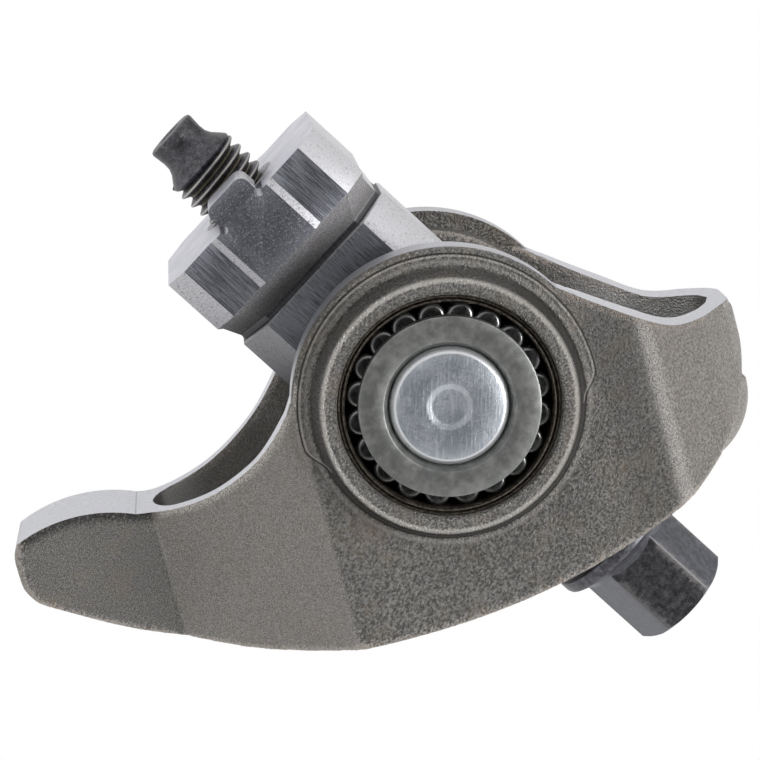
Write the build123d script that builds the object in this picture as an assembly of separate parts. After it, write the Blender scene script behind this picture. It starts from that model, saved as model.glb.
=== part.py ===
from build123d import *
import os
from math import cos, pi, radians, sin, sqrt, tan

# Pedestal-mount roller-fulcrum rocker arm, in millimetres.
# Part frame: origin at the centre of the pedestal's seating face, +Z up along the bolt,
# Y along the trunnion, +X towards the valve tip and -X towards the pushrod.
# Body frame: u runs from the trunnion axis towards the valve tip and v away from the engine.
# The body leans about the trunnion by body_tilt, the attitude in which it rests on the raised bolt.

# Trunnion and where it sits
trunnion_height = 27.3
trunnion_diameter = 11.8
trunnion_half_length = 16.9
trunnion_end_chamfer = 0.6
trunnion_flat_height = 4.7
trunnion_flat_half_length = 8.0
dimple_diameter = 4.6
dimple_depth = 0.7
dimple_land_diameter = 2.6

# Needle bearings, one pair
needle_count = 20
needle_diameter = 2.70
needle_length = 6.30
needle_gap = 0.063
bearing_clearance = 0.02
race_press_clearance = 0.01
pin_end_recess = 0.1
race_flange_thickness = 1.15
race_flange_diameter = 17.8
race_mouth_diameter = 13.0
race_mouth_depth = 0.9
race_edge_chamfer = 0.25
race_inner_y = 8.6
cup_wall = 0.80
cup_end_recess = 0.6
cup_inner_y = 8.5
cup_lip_fillet = 0.35
cup_floor_thickness = 0.7
cup_floor_clearance = 0.5
needle_end_clearance = 0.1

# Rocker body
body_tilt = 32.0
wall_y = 15.1
boss_face_y = 17.0
boss_face_diameter = 25.6
boss_foot_diameter = 26.8
boss_pad_diameter = 30.8
boss_pad_round = 0.7
barrel_diameter = 27.4
barrel_inner_y = 8.3
bore_chamfer = 0.4
tip_half_width = 5.2
tip_corner_round = 1.6
tip_zone_u = 31.65
tip_ridge_u = 14.6
tip_ridge_round = 1.2
tip_zone_round = 1.5
cup_ridge_u = -20.4
cup_ridge_half_width = 13.8
cup_ridge_round = 4.0
cup_taper_u = -9.5
nose_shoulder = (-27.2, 8.6)
nose_shoulder_round = 1.5
nose_u = -31.28
parting_v = 3.2
wall_draft = 2.4
draft_depth = 20.0
rim_bevel = 0.7
rim_bevel_floor = 9.0

# Side outline of the body, in (u, v)
pad_start = (33.1, 4.5)
pad_low = (39.8, 3.1)
pad_end = (45.3, 4.2)
tip_face = [(46.1, 5.4), (46.25, 7.4), (46.05, 9.4)]
tip_top = (44.6, 11.2)
top_line = [(35.1, 16.7), (23.6, 20.7), (8.8, 22.1), (-5.5, 20.9), (-20.8, 16.5), (-27.7, 11.6)]
nose_top = (-30.4, 6.8)
nose_bottom = (-31.2, 0.15)
cup_rim = [(-24.4, -0.4), (-20.5, -2.6), (-12.3, -8.7)]
ring_side = (0.0, -13.0)
arm_rim = [(14.2, -5.4), (16.4, -2.0), (20.5, 1.7), (26.4, 4.3)]

# Hollow of the body
hollow_half_width = 11.0
hollow_tip_u = 32.2
hollow_tip_half_width = 4.1
hollow_tip_start_u = 30.3
hollow_arm = (19.4, 10.2)
hollow_taper_u = -10.0
hollow_cup = [(-17.0, 8.6), (-22.0, 7.4), (-26.3, 5.0), (-28.4, 2.8)]
hollow_nose_u = -29.0
arm_web_thickness = 4.6
arm_floor = [(31.2, 6.5), (26.5, 12.8), (19.0, 16.6)]
cup_floor_v = 9.4
swing_range = 38.0
bolt_passage_radius = 8.0

# Pushrod cup
cup_centre = (-23.0, 8.7)
cup_ball_radius = 4.0
cup_dome_radius = 7.85
cup_lean = 4.0
cup_mouth_chamfer = 0.5

# Pedestal
seat_half_width = 10.55
seat_half_depth = 10.3
seat_chamfer = 2.3
seat_height = 6.95
seat_edge_bevel = 0.35
band_half_width = 3.6
band_bevel = 0.75
tab_half_width = 2.6
tab_length = 2.5
tab_inner_y = 5.0
tab_round = 1.0
tab_relief_radius = 0.45
block_half_width = 10.35
block_half_depth = 7.6
block_chamfer = 3.4
waist_depth = 0.45
waist_width = 0.55
block_edge_bevel = 0.25
block_top_drop = 0.4
saddle_clearance = 0.02
bolt_hole_diameter = 8.6
bolt_hole_mouth = 0.4

# Bolt
bolt_raise = 19.8
bolt_shank_diameter = 7.9
bolt_length = 61.2
bolt_flange_diameter = 14.7
bolt_rim_height = 1.5
bolt_rim_round = 0.4
bolt_cone_height = 1.9
bolt_hex_across_flats = 10.0
bolt_hex_height = 11.6
bolt_hex_foot = 2.4
bolt_hex_chamfer = 0.9
bolt_dome = 0.5
bolt_dome_flat_radius = 1.9
pilot_diameter = 5.5
pilot_length = 1.4
pilot_flare_length = 3.1
pilot_end_round = 0.3

overlap = 0.5
same_station = 0.001


def mirror_y(shape):
    """The same shape on the far side."""
    return mirror(shape, about=Plane.XZ)


def octagon(half_width, half_depth, chamfer):
    """A rectangle with its corners cut at 45 degrees, centred on the bolt."""
    return Polyline(
        (half_width - chamfer, -half_depth),
        (half_width, -half_depth + chamfer),
        (half_width, half_depth - chamfer),
        (half_width - chamfer, half_depth),
        (-half_width + chamfer, half_depth),
        (-half_width, half_depth - chamfer),
        (-half_width, -half_depth + chamfer),
        (-half_width + chamfer, -half_depth),
        close=True,
    )


def octagon_face(half_width, half_depth, chamfer, height):
    return Pos(0, 0, height) * make_face(octagon(half_width, half_depth, chamfer))


def cylinder_y(radius, y_start, y_end, x=0.0, z=0.0):
    """A cylinder along Y between two Y values."""
    plane = Plane(origin=(x, y_start, z), x_dir=(1, 0, 0), z_dir=(0, 1, 0))
    return extrude(plane * Circle(radius), amount=y_end - y_start)


def turned(points, axis_plane):
    """A solid of revolution from (radius, station) points on a plane whose local y is the axis."""
    face = make_face(Polyline(*points, close=True))
    return revolve(axis_plane * face, axis=Axis(axis_plane.origin, axis_plane.y_dir), revolution_arc=360)


# Local x is the radius and local y runs outwards along the trunnion on the near side.
near_axis = Plane(origin=(0, 0, trunnion_height), x_dir=(1, 0, 0), z_dir=(0, 0, 1)).rotated((180, 0, 0))
bolt_axis = Plane.XZ


def bearing_sizes():
    """Pitch radius of the needles, and the tracks that just clear them."""
    pitch = (needle_diameter + needle_gap) / (2 * sin(pi / needle_count))
    inner_track = pitch - needle_diameter / 2 - bearing_clearance
    outer_track = pitch + needle_diameter / 2 + bearing_clearance
    return pitch, inner_track, outer_track


pitch_radius, inner_track_radius, outer_track_radius = bearing_sizes()
race_end_y = trunnion_half_length + pin_end_recess
cup_end_y = boss_face_y - cup_end_recess
cup_outer_radius = outer_track_radius + cup_wall
needle_near_y = race_end_y - race_flange_thickness - needle_end_clearance
needle_far_y = needle_near_y - needle_length
bolt_seat_z = trunnion_height + trunnion_flat_height
bolt_head_z = bolt_seat_z + bolt_raise
bolt_tip_z = bolt_head_z - bolt_length


def body_to_part(shape):
    """Turn a shape from the body frame into the part frame."""
    return Pos(0, 0, trunnion_height) * Rot(0, body_tilt, 0) * shape


def side_outline():
    """The body seen along the trunnion."""
    pad = ThreePointArc(pad_start, pad_low, pad_end)
    tip = Spline(pad_end, *tip_face, tip_top, tangents=[(0.75, 0.65), (-0.8, 0.55)])
    top = Spline(tip_top, *top_line, nose_top, tangents=[(-0.85, 0.52), (-0.35, -0.94)])
    nose = Spline(nose_top, nose_bottom, tangents=[(-0.35, -0.94), (0.3, -0.95)])
    rim = Spline(nose_bottom, *cup_rim, tangents=[(0.95, -0.1), (0.78, -0.62)])
    ring = Polyline(cup_rim[-1], ring_side, arm_rim[0])
    arm = Spline(*arm_rim, pad_start, tangents=[(0.5, 0.86), (0.97, -0.22)])
    return make_face(Curve() + [pad, tip, top, nose, rim, ring, arm])


def plan_outline():
    """The body seen from above: a flat-sided tip, a straight slope, parallel cheeks and a blunt nose."""
    half = [
        (tip_face[1][0] + overlap, tip_half_width),
        (tip_zone_u, tip_half_width),
        (tip_ridge_u, wall_y),
        (cup_taper_u, wall_y),
        (cup_ridge_u, cup_ridge_half_width),
        nose_shoulder,
    ]
    other = [(u, -y) for u, y in reversed(half)]
    nose = ThreePointArc(half[-1], (nose_u, 0), other[0])
    face = make_face(Curve() + [Polyline(*other, *half), nose])
    rounds = [
        (half[0][0], tip_corner_round),
        (tip_zone_u, tip_zone_round),
        (tip_ridge_u, tip_ridge_round),
        (cup_ridge_u, cup_ridge_round),
        (nose_shoulder[0], nose_shoulder_round),
    ]
    for station, radius in rounds:
        corners = [v for v in face.vertices() if abs(v.X - station) < same_station]
        face = fillet(corners, radius)
    return face


def cast_outside():
    """The body before it is hollowed: drafted in below its parting line, with its back edges bevelled."""
    width = 2 * boss_face_y
    side = extrude(Plane.XZ * side_outline(), amount=width, both=True)
    plan = Pos(0, 0, parting_v) * plan_outline()
    upper = extrude(plan, amount=width)
    lower = extrude(plan, amount=draft_depth, dir=(0, 0, -1), taper=wall_draft)
    solid = side & (upper + lower)
    back_edges = [
        edge for edge in solid.edges()
        if edge.center().Z > rim_bevel_floor
        and abs(edge.center().Y) > rim_bevel / 2
        and edge.center().X < tip_top[0] - rim_bevel / 2
        and not (edge.geom_type == GeomType.LINE and abs(edge.tangent_at(0.5).Z) > 0.99)
    ]
    return chamfer(back_edges, rim_bevel)


def hollow_plan():
    """The hollow seen from above: it narrows to a rounded end behind the pad and before the nose."""
    half = [
        (hollow_tip_start_u, hollow_tip_half_width),
        hollow_arm,
        (tip_ridge_u, hollow_half_width),
        (hollow_taper_u, hollow_half_width),
        *hollow_cup,
    ]
    other = [(u, -y) for u, y in reversed(half)]
    outline = Polyline(*half) + Polyline(*other)
    tip_end = ThreePointArc(half[0], (hollow_tip_u, 0), other[-1])
    nose_end = ThreePointArc(half[-1], (hollow_nose_u, 0), other[0])
    return make_face(outline + tip_end + nose_end)


def hollow_side():
    """The hollow seen along the trunnion: open below, open above where the bolt passes."""
    reach = trunnion_height
    bolt_angle = radians(90 + body_tilt)
    end_angle = radians(90 + body_tilt - swing_range)

    def beside_bolt(angle, side, v):
        """Where the passage wall beside the bolt at one end of the swing crosses a height v."""
        offset_u = side * bolt_passage_radius * sin(angle)
        offset_v = -side * bolt_passage_radius * cos(angle)
        along = (v - offset_v) / sin(angle)
        return (offset_u + along * cos(angle), v)

    points = [
        (hollow_tip_u, -reach),
        (hollow_tip_u, arm_floor[0][1] - arm_web_thickness / 2),
        *arm_floor,
        beside_bolt(end_angle, 1, arm_floor[-1][1]),
        beside_bolt(end_angle, 1, reach),
        beside_bolt(bolt_angle, -1, reach),
        beside_bolt(bolt_angle, -1, cup_floor_v),
        (hollow_nose_u, cup_floor_v),
        (hollow_nose_u, -reach),
    ]
    return make_face(Polyline(*points, close=True))


def boss_half():
    """The near bearing boss: raised face, pad and the barrel that reaches in to the pedestal."""
    face_r = boss_face_diameter / 2
    foot_r = boss_foot_diameter / 2
    pad_r = boss_pad_diameter / 2
    barrel_r = barrel_diameter / 2
    points = [
        (0, barrel_inner_y),
        (barrel_r, barrel_inner_y),
        (barrel_r, hollow_half_width),
        (pad_r, hollow_half_width),
        (pad_r, wall_y - boss_pad_round),
        (pad_r - boss_pad_round, wall_y),
        (foot_r, wall_y),
        (face_r, boss_face_y),
        (0, boss_face_y),
    ]
    return turned(points, near_axis)


def bore_half():
    """What is bored out of the near boss for the bearing cup."""
    radius = cup_outer_radius + race_press_clearance
    points = [
        (0, barrel_inner_y - overlap),
        (radius, barrel_inner_y - overlap),
        (radius, boss_face_y - bore_chamfer),
        (radius + bore_chamfer + overlap, boss_face_y + overlap),
        (0, boss_face_y + overlap),
    ]
    return turned(points, near_axis)


def rocker_body():
    width = 2 * boss_face_y
    shell = cast_outside()
    hollow_column = extrude(Pos(0, 0, -width) * hollow_plan(), amount=3 * width)
    hollow = hollow_column & extrude(Plane.XZ * hollow_side(), amount=width, both=True)
    cup_u, cup_v = cup_centre
    dome = Pos(cup_u, 0, cup_v) * Sphere(cup_dome_radius)
    dome_top = dome & Pos(cup_u, 0, cup_v + width / 2) * Box(width, width, width)
    shell = (shell + dome_top) - hollow
    lean = radians(cup_lean)
    axis = Plane(origin=(cup_u, 0, cup_v), x_dir=(0, 1, 0), z_dir=(-sin(lean), 0, -cos(lean)))
    recess = Pos(cup_u, 0, cup_v) * Sphere(cup_ball_radius)
    recess += extrude(axis * Circle(cup_ball_radius), amount=cup_ball_radius)
    shell -= recess
    solid = body_to_part(shell)
    bosses = boss_half()
    bores = bore_half()
    return solid + bosses + mirror_y(bosses) - bores - mirror_y(bores)


def bearing_cup():
    """Drawn cup: a rolled outer lip and a floor turned in behind the needles."""
    inner = outer_track_radius
    outer = cup_outer_radius
    floor = inner_track_radius + cup_floor_clearance
    points = [
        (floor, cup_inner_y),
        (outer - cup_lip_fillet, cup_inner_y),
        (outer, cup_inner_y + cup_lip_fillet),
        (outer, cup_end_y - cup_lip_fillet),
        (outer - cup_lip_fillet, cup_end_y),
        (inner + cup_lip_fillet / 2, cup_end_y),
        (inner, cup_end_y - cup_lip_fillet),
        (inner, cup_inner_y + cup_floor_thickness),
        (floor, cup_inner_y + cup_floor_thickness),
    ]
    return turned(points, near_axis)


def inner_race():
    """Flanged sleeve: the needles roll on it and its flange holds them in."""
    bore = trunnion_diameter / 2 + race_press_clearance
    mouth = race_mouth_diameter / 2
    flange = race_flange_diameter / 2
    flange_y = race_end_y - race_flange_thickness
    points = [
        (bore, race_inner_y),
        (inner_track_radius, race_inner_y),
        (inner_track_radius, flange_y),
        (flange - race_edge_chamfer, flange_y),
        (flange, flange_y + race_edge_chamfer),
        (flange, race_end_y - race_edge_chamfer),
        (flange - race_edge_chamfer, race_end_y),
        (mouth, race_end_y),
        (bore, race_end_y - race_mouth_depth),
    ]
    return turned(points, near_axis)


def needle():
    """One needle, standing at the top of the pitch circle on the near side."""
    radius = needle_diameter / 2
    return cylinder_y(radius, -needle_near_y, -needle_far_y, z=trunnion_height + pitch_radius)


def needle_ring():
    """The near side's needles, numbered round the trunnion."""
    axis = Axis((0, 0, trunnion_height), (0, 1, 0))
    first = needle()
    return [first.rotate(axis, 360 / needle_count * index) for index in range(needle_count)]


def trunnion_pin():
    radius = trunnion_diameter / 2
    half = trunnion_half_length
    pin = cylinder_y(radius, -half, half, z=trunnion_height)
    pin = chamfer(pin.edges().filter_by(GeomType.CIRCLE), trunnion_end_chamfer)
    flat_length = 2 * trunnion_flat_half_length
    pin -= Pos(0, 0, bolt_seat_z + radius) * Box(4 * radius, flat_length, 2 * radius)
    pin -= Pos(0, 0, trunnion_height) * Cylinder(bolt_hole_diameter / 2, 4 * radius)
    land = dimple_land_diameter / 2
    rim = dimple_diameter / 2
    dimple = turned([
        (0, half - dimple_depth),
        (land, half - dimple_depth),
        (rim, half),
        (rim, half + overlap),
        (0, half + overlap),
    ], near_axis)
    return pin - dimple - mirror_y(dimple)


def locating_band():
    """The raised band down both faces of the seat block, in plan."""
    root_y = seat_half_depth
    face_y = seat_half_depth + band_bevel
    root_x = band_half_width + band_bevel
    return make_face(Polyline(
        (-root_x, -root_y),
        (-band_half_width, -face_y),
        (band_half_width, -face_y),
        (root_x, -root_y),
        (root_x, root_y),
        (band_half_width, face_y),
        (-band_half_width, face_y),
        (-root_x, root_y),
        close=True,
    ))


def locating_tab():
    """The tongue below the seat on the near side, with a relief at each root."""
    depth = seat_half_depth + band_bevel - tab_inner_y
    tab = Pos(0, -(tab_inner_y + depth / 2), -tab_length / 2 + overlap) * Box(
        2 * tab_half_width, depth, tab_length + 2 * overlap)
    lower = tab.edges().filter_by(Axis.Y).sort_by(Axis.Z)[:2]
    return fillet(lower, tab_round)


def pedestal():
    seat = extrude(octagon_face(seat_half_width, seat_half_depth, seat_chamfer, 0), amount=seat_height)
    seat = chamfer(seat.faces().sort_by(Axis.Z)[-1].edges(), seat_edge_bevel)
    seat += extrude(locating_band(), amount=seat_height - seat_edge_bevel)
    shoulder = seat_half_depth - seat_edge_bevel - block_half_depth
    waist_z = seat_height + shoulder
    waist = (block_half_width - waist_depth, block_half_depth - waist_depth, block_chamfer)
    top_of_seat = octagon_face(
        seat_half_width - seat_edge_bevel, seat_half_depth - seat_edge_bevel, seat_chamfer, seat_height)
    neck = loft([top_of_seat, octagon_face(*waist, waist_z)])
    groove = extrude(octagon_face(*waist, waist_z), amount=waist_width)
    block_z = waist_z + waist_width
    block_top = trunnion_height - block_top_drop
    block = extrude(
        octagon_face(block_half_width, block_half_depth, block_chamfer, block_z), amount=block_top - block_z)
    block = chamfer(block.faces().sort_by(Axis.Z)[0].edges(), block_edge_bevel)
    solid = seat + neck + groove + block + locating_tab()
    for side in (-1, 1):
        solid -= cylinder_y(
            tab_relief_radius, -(seat_half_depth + band_bevel + overlap), -tab_inner_y, x=side * tab_half_width)
    solid -= cylinder_y(
        trunnion_diameter / 2 + saddle_clearance, -seat_half_depth, seat_half_depth, z=trunnion_height)
    hole = Pos(0, 0, trunnion_height / 2) * Cylinder(bolt_hole_diameter / 2, 2 * trunnion_height)
    mouth_r = bolt_hole_diameter / 2 + bolt_hole_mouth
    mouth = Pos(0, 0, bolt_hole_mouth / 2) * Cone(mouth_r, bolt_hole_diameter / 2, bolt_hole_mouth)
    return solid - hole - mouth


def bolt():
    shank = bolt_shank_diameter / 2
    pilot = pilot_diameter / 2
    rim = bolt_flange_diameter / 2
    flare_z = bolt_tip_z + pilot_length + pilot_flare_length
    head_top = bolt_head_z + bolt_hex_height
    hex_corner = bolt_hex_across_flats / sqrt(3)
    turned_part = turned([
        (0, bolt_tip_z),
        (pilot - pilot_end_round, bolt_tip_z),
        (pilot, bolt_tip_z + pilot_end_round),
        (pilot + (shank - pilot) * 0.25, flare_z - pilot_flare_length / 2),
        (shank, flare_z),
        (shank, bolt_head_z),
        (rim - bolt_rim_round, bolt_head_z),
        (rim, bolt_head_z + bolt_rim_round),
        (rim, bolt_head_z + bolt_rim_height - bolt_rim_round),
        (rim - bolt_rim_round, bolt_head_z + bolt_rim_height),
        (hex_corner, bolt_head_z + bolt_rim_height + bolt_cone_height * 0.45),
        (hex_corner - bolt_hex_chamfer, bolt_head_z + bolt_rim_height + bolt_cone_height),
        (0, bolt_head_z + bolt_rim_height + bolt_cone_height),
    ], bolt_axis)
    hexagon = RegularPolygon(bolt_hex_across_flats / 2, 6, major_radius=False)
    head = extrude(Pos(0, 0, bolt_head_z + bolt_hex_foot) * hexagon, amount=bolt_hex_height - bolt_hex_foot)
    envelope = turned([
        (0, bolt_head_z),
        (hex_corner + overlap, bolt_head_z),
        (hex_corner + overlap, head_top - bolt_hex_chamfer - overlap * tan(radians(30))),
        (hex_corner - bolt_hex_chamfer, head_top - bolt_dome),
        (bolt_dome_flat_radius, head_top),
        (0, head_top),
    ], bolt_axis)
    return turned_part + (head & envelope)


def build():
    """Every piece by node name."""
    pieces = {
        "rocker_body": rocker_body(),
        "pedestal": pedestal(),
        "bolt": bolt(),
        "trunnion_pin": trunnion_pin(),
    }
    near_pieces = {"inner_race": inner_race(), "bearing_cup": bearing_cup()}
    for name, shape in near_pieces.items():
        pieces[name + "_near"] = shape
        pieces[name + "_far"] = mirror_y(shape)
    for index, shape in enumerate(needle_ring(), start=1):
        pieces[f"needle_near_{index:02d}"] = shape
        pieces[f"needle_far_{index:02d}"] = mirror_y(shape)
    return pieces


def main():
    os.makedirs("parts", exist_ok=True)
    for name, shape in build().items():
        export_step(shape, f"parts/{name}.step")


main()
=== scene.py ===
from math import cos, pi, radians, sin, sqrt, tan

import bpy
import numpy as np
from mathutils import Matrix, Vector


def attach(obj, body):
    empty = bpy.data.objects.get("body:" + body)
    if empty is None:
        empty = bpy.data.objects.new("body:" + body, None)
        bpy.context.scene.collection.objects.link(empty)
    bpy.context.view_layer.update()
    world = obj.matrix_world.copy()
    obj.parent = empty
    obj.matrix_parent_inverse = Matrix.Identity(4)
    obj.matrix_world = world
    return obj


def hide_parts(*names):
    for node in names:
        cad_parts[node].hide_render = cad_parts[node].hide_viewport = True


# Everything below is written in millimetres and turned into metres when a piece is finished.
MM = 0.001

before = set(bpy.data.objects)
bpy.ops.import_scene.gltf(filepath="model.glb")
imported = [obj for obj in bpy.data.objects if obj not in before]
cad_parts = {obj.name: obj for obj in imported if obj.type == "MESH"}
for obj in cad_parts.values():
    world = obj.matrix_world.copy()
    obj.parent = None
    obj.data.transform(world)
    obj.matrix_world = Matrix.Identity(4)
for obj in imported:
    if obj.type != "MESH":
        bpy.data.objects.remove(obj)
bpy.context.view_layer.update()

# Trunnion, its pin and where the body leans about it, as in the part
TRUNNION_Z = 27.3
PIN_FLAT_Z = 32.0
PIN_FLAT_LENGTH = 16
PIN_HOLE_RADIUS = 4.3
BODY_TILT = 32.0
SWING = 38
LEAN = radians(BODY_TILT)

# Needle bearings
NEEDLES = 20
PITCH_RADIUS = 8.83
NEEDLE_Y = 12.6

# Bolt
BOLT_TIP_Z = -9.4
BOLT_SEAT_Z = 51.8
HEX_FLATS = 10.0
HEAD_HEIGHT = 11.6
THREAD_START_Z = -5.9
THREAD_PITCH = 1.25
THREAD_TURNS = 15
BOLT_WAY = 8.0

# Cast body: widths, the draft below its widest line and the stock on its rims
TIP_HALF_WIDTH = 5.2
TIP_ZONE_U = 31.65
RIDGE_U = 14.6
WALL_Y = 15.1
FACE_Y = 17.0
DRAFT_START = 3.2
DRAFT = radians(2.4)
RIM_STOCK = 0.5
STOCK_START = 16.5
BOSS_PAD_RADIUS = 15.4
RIM_START = 15.45
BELOW = -45
CUP_U = -23.0
CUP_V = 8.7
DOME_RADIUS = 7.85
SOCKET_RADIUS = 4.0
SOCKET_LEAN = 4

# How the casting's edges are softened: the size of the remesh and its smoothing passes
VOXEL = 0.34
SOFTEN = 5

# The body's outline in its own frame: u along the arm from the trunnion, v away from the engine
PAD = [(33.1, 4.5), (39.8, 3.1), (45.3, 4.2)]
PAD_CENTRE = np.array((39.551, 18.643))
PAD_RADIUS = 15.545
TIP = [(45.3, 4.2), (46.1, 5.4), (46.25, 7.4), (46.05, 9.4), (44.6, 11.2)]
TOP = [
    (44.6, 11.2), (35.1, 16.7), (23.6, 20.7), (8.8, 22.1), (-5.5, 20.9), (-20.8, 16.5), (-27.7, 11.6),
    (-30.4, 6.8),
]
NOSE = [(-30.4, 6.8), (-31.25, 3.0), (-31.2, 1.4), (-30.6, 0.25)]
CUP_RIM = [(-30.6, -0.1), (-24.4, -0.4), (-20.5, -2.6), (-12.3, -8.7)]
ARM_RIM = [(14.2, -5.4), (16.4, -2.0), (20.5, 1.7), (26.4, 4.3), (33.1, 4.5)]

# Rings of a boss, by radius, for its shape and its finish
RING_SHOULDER = 12.42
RING_RECESS = 13.18
RING_SWELL = 13.95
RING_EDGE = 14.80

# materials
class Val:
    """A value in a material. Arithmetic on it adds the node that does the sum."""

    def __init__(self, tree, socket):
        self.tree = tree
        self.socket = socket

    def node(self, kind, inputs=None, output=0, **settings):
        """Any other node: its settings, then its inputs by name or number."""
        made = self.tree.nodes.new(kind)
        for key, value in settings.items():
            setattr(made, key, value)
        for key, value in (inputs or {}).items():
            if isinstance(value, Val):
                self.tree.links.new(value.socket, made.inputs[key])
            else:
                made.inputs[key].default_value = value
        return Val(self.tree, made.outputs[output])

    def sum(self, operation, a, b=0.0):
        return self.node("ShaderNodeMath", {0: a, 1: b}, operation=operation)

    def __add__(self, other):
        return self.sum("ADD", self, other)

    def __radd__(self, other):
        return self.sum("ADD", other, self)

    def __sub__(self, other):
        return self.sum("SUBTRACT", self, other)

    def __rsub__(self, other):
        return self.sum("SUBTRACT", other, self)

    def __mul__(self, other):
        return self.sum("MULTIPLY", self, other)

    def __rmul__(self, other):
        return self.sum("MULTIPLY", other, self)

    def __truediv__(self, other):
        return self.sum("DIVIDE", self, other)

    def __rtruediv__(self, other):
        return self.sum("DIVIDE", other, self)

    def __pow__(self, other):
        return self.sum("POWER", self, other)

    def __rpow__(self, other):
        return self.sum("POWER", other, self)

    def __abs__(self):
        return self.sum("ABSOLUTE", self)


def step(value, low, high, start=0.0, end=1.0):
    """A smooth change from start to end as the value goes from low to high."""
    return value.node(
        "ShaderNodeMapRange", {0: value, 1: low, 2: high, 3: start, 4: end},
        interpolation_type="SMOOTHSTEP")


def blend(factor, first, second):
    """A colour between two, each a Val or an (r, g, b) triple."""
    ends = [c if isinstance(c, Val) else (*c, 1.0) for c in (first, second)]
    return factor.node(
        "ShaderNodeMix", {0: factor, 6: ends[0], 7: ends[1]}, output=2, data_type="RGBA")


def noise(place, scale, detail=2.0, rough=0.5, stretch=None):
    """Noise whose scale is in features a millimetre, drawn out along an axis if asked."""
    if stretch:
        place = place.node("ShaderNodeVectorMath", {0: place, 1: stretch}, operation="MULTIPLY")
    return place.node(
        "ShaderNodeTexNoise",
        {"Vector": place, "Scale": scale / MM, "Detail": detail, "Roughness": rough})


def new_material(name):
    """A material with its shader, its object coordinates, those in millimetres, and the normal."""
    mat = bpy.data.materials.new(name)
    mat.use_nodes = True
    tree = mat.node_tree
    shader = tree.nodes["Principled BSDF"]
    coords = tree.nodes.new("ShaderNodeTexCoord")
    place = Val(tree, coords.outputs["Object"])
    split = tree.nodes.new("ShaderNodeSeparateXYZ")
    tree.links.new(place.socket, split.inputs[0])
    axes = [Val(tree, split.outputs[i]) / MM for i in range(3)]
    facing = tree.nodes.new("ShaderNodeSeparateXYZ")
    tree.links.new(coords.outputs["Normal"], facing.inputs[0])
    return mat, shader, place, axes, [Val(tree, facing.outputs[i]) for i in range(3)]


def wire(shader, **inputs):
    """Values onto the shader's own sockets, by name with underscores for spaces."""
    for key, value in inputs.items():
        socket = shader.inputs[key.replace("_", " ")]
        if isinstance(value, Val):
            value.tree.links.new(value.socket, socket)
        else:
            socket.default_value = (*value, 1.0) if isinstance(value, tuple) else value


def attribute(place, name):
    """A value stored on the piece's own points or faces."""
    return place.node("ShaderNodeAttribute", attribute_name=name, output="Fac")


def bump(height, distance):
    """A normal from a height field whose 1 is the distance, in millimetres."""
    return height.node("ShaderNodeBump", {"Height": height, "Distance": distance * MM})


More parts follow.
